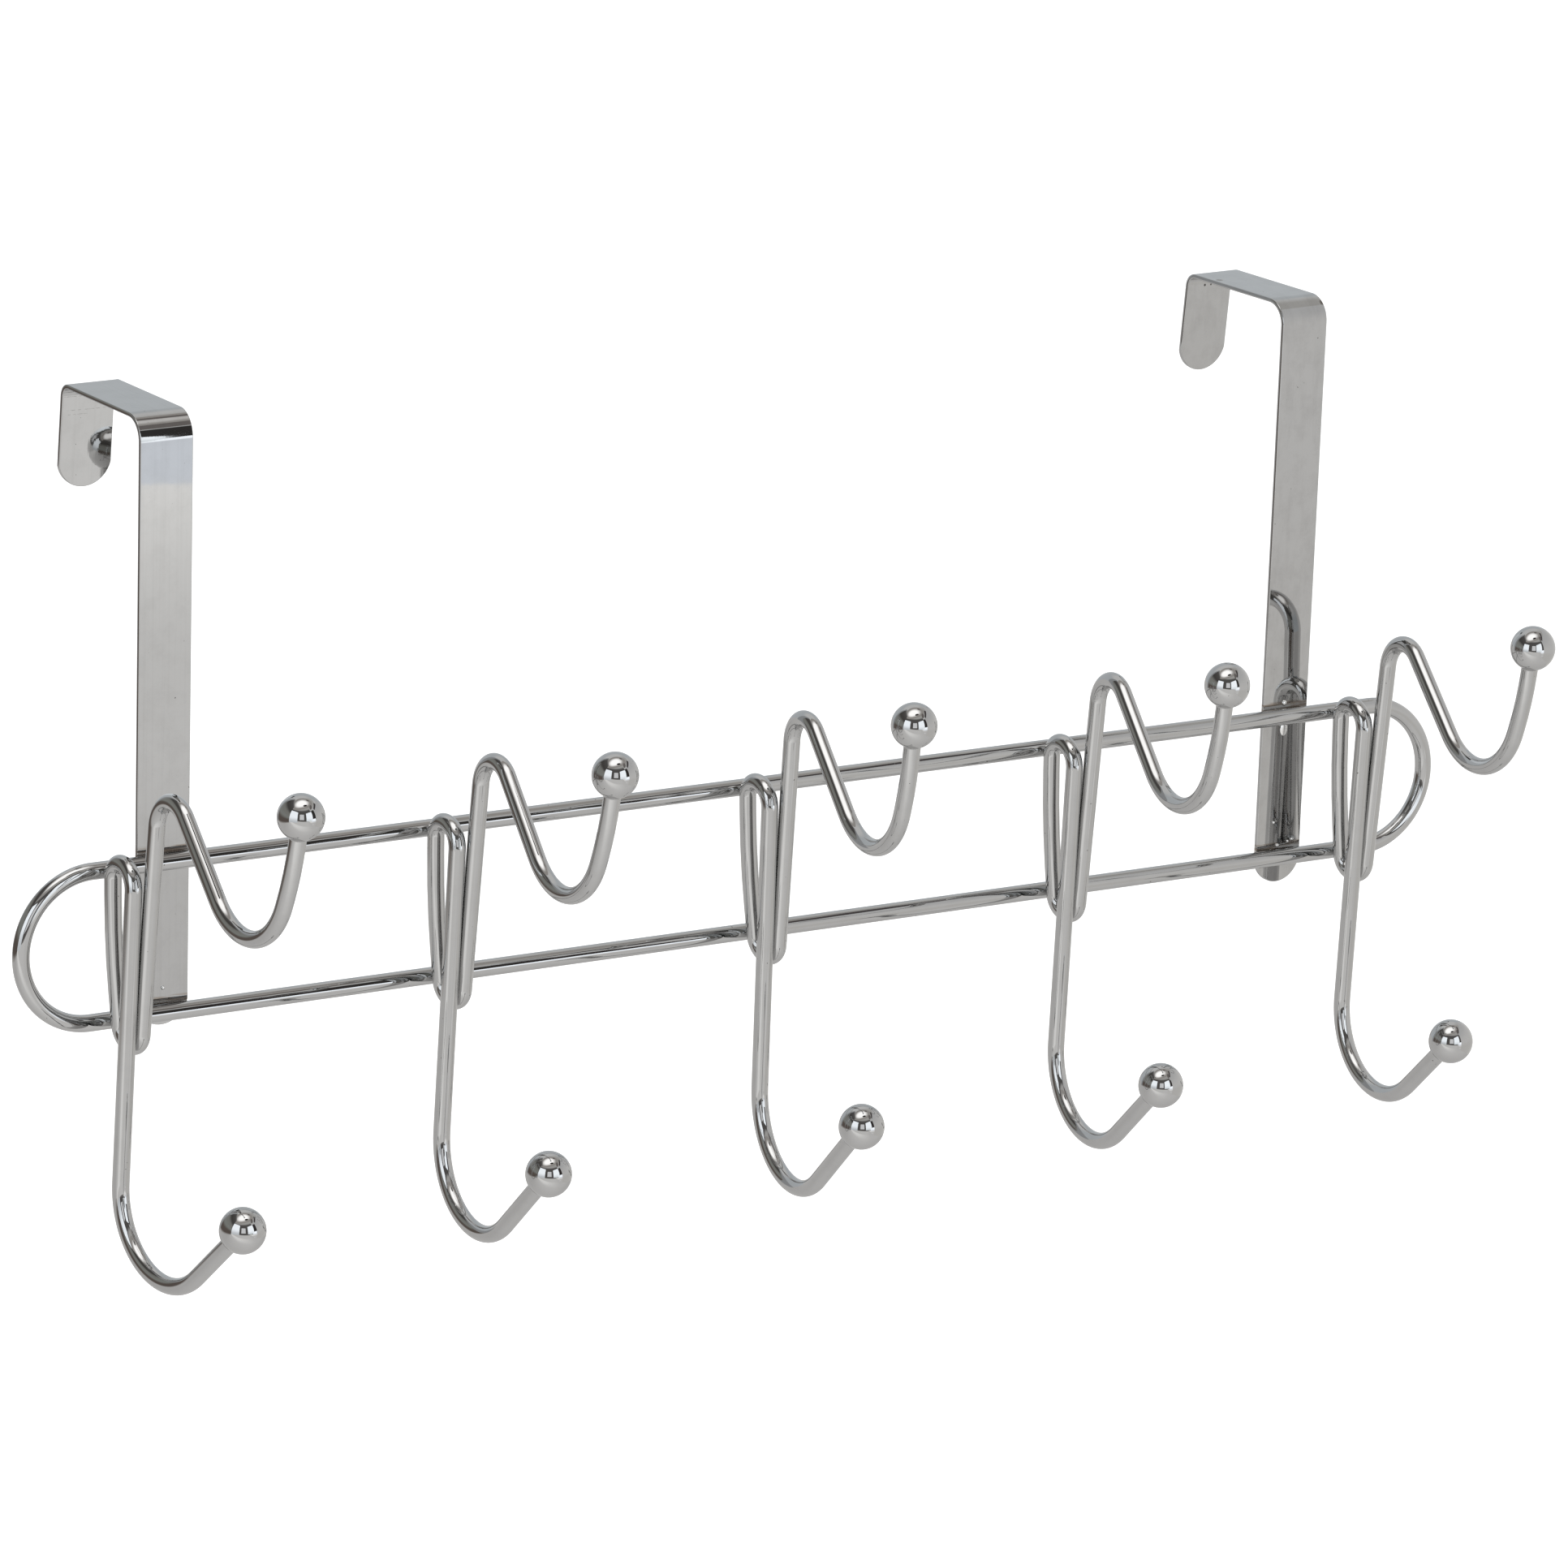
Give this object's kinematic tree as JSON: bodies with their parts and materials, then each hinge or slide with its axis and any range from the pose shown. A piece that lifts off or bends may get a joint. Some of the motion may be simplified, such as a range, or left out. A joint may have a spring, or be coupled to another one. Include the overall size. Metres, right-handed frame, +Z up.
{
  "type": "over door hook",
  "caption": "Chrome over door rack: flat straps hook over the door top and carry a welded wire loop with coat and hat hooks that end in balls.",
  "frame": {"origin": "front top edge of the door, midway between the straps", "axes": "+X along the door to the right as seen from the front, -Y out of the door towards the hooks, +Z up"},
  "size_m": [0.4694, 0.1511, 0.2312],
  "materials": {
    "wire": "bright chrome plating on drawn steel wire",
    "ball": "mirror bright chrome plating",
    "strap": "bright chrome plating with a faint haze and a brown tint at the welds"
  },
  "bodies": {
    "root": {"rail_loop": "wire", "strap_left": "strap", "strap_right": "strap", "hook_1": "wire", "hook_2": "wire", "hook_3": "wire", "hook_4": "wire", "hook_5": "wire", "ball_upper_1": "ball", "ball_upper_2": "ball", "ball_upper_3": "ball", "ball_upper_4": "ball", "ball_upper_5": "ball", "ball_lower_1": "ball", "ball_lower_2": "ball", "ball_lower_3": "ball", "ball_lower_4": "ball", "ball_lower_5": "ball"}
  },
  "joints": []
}
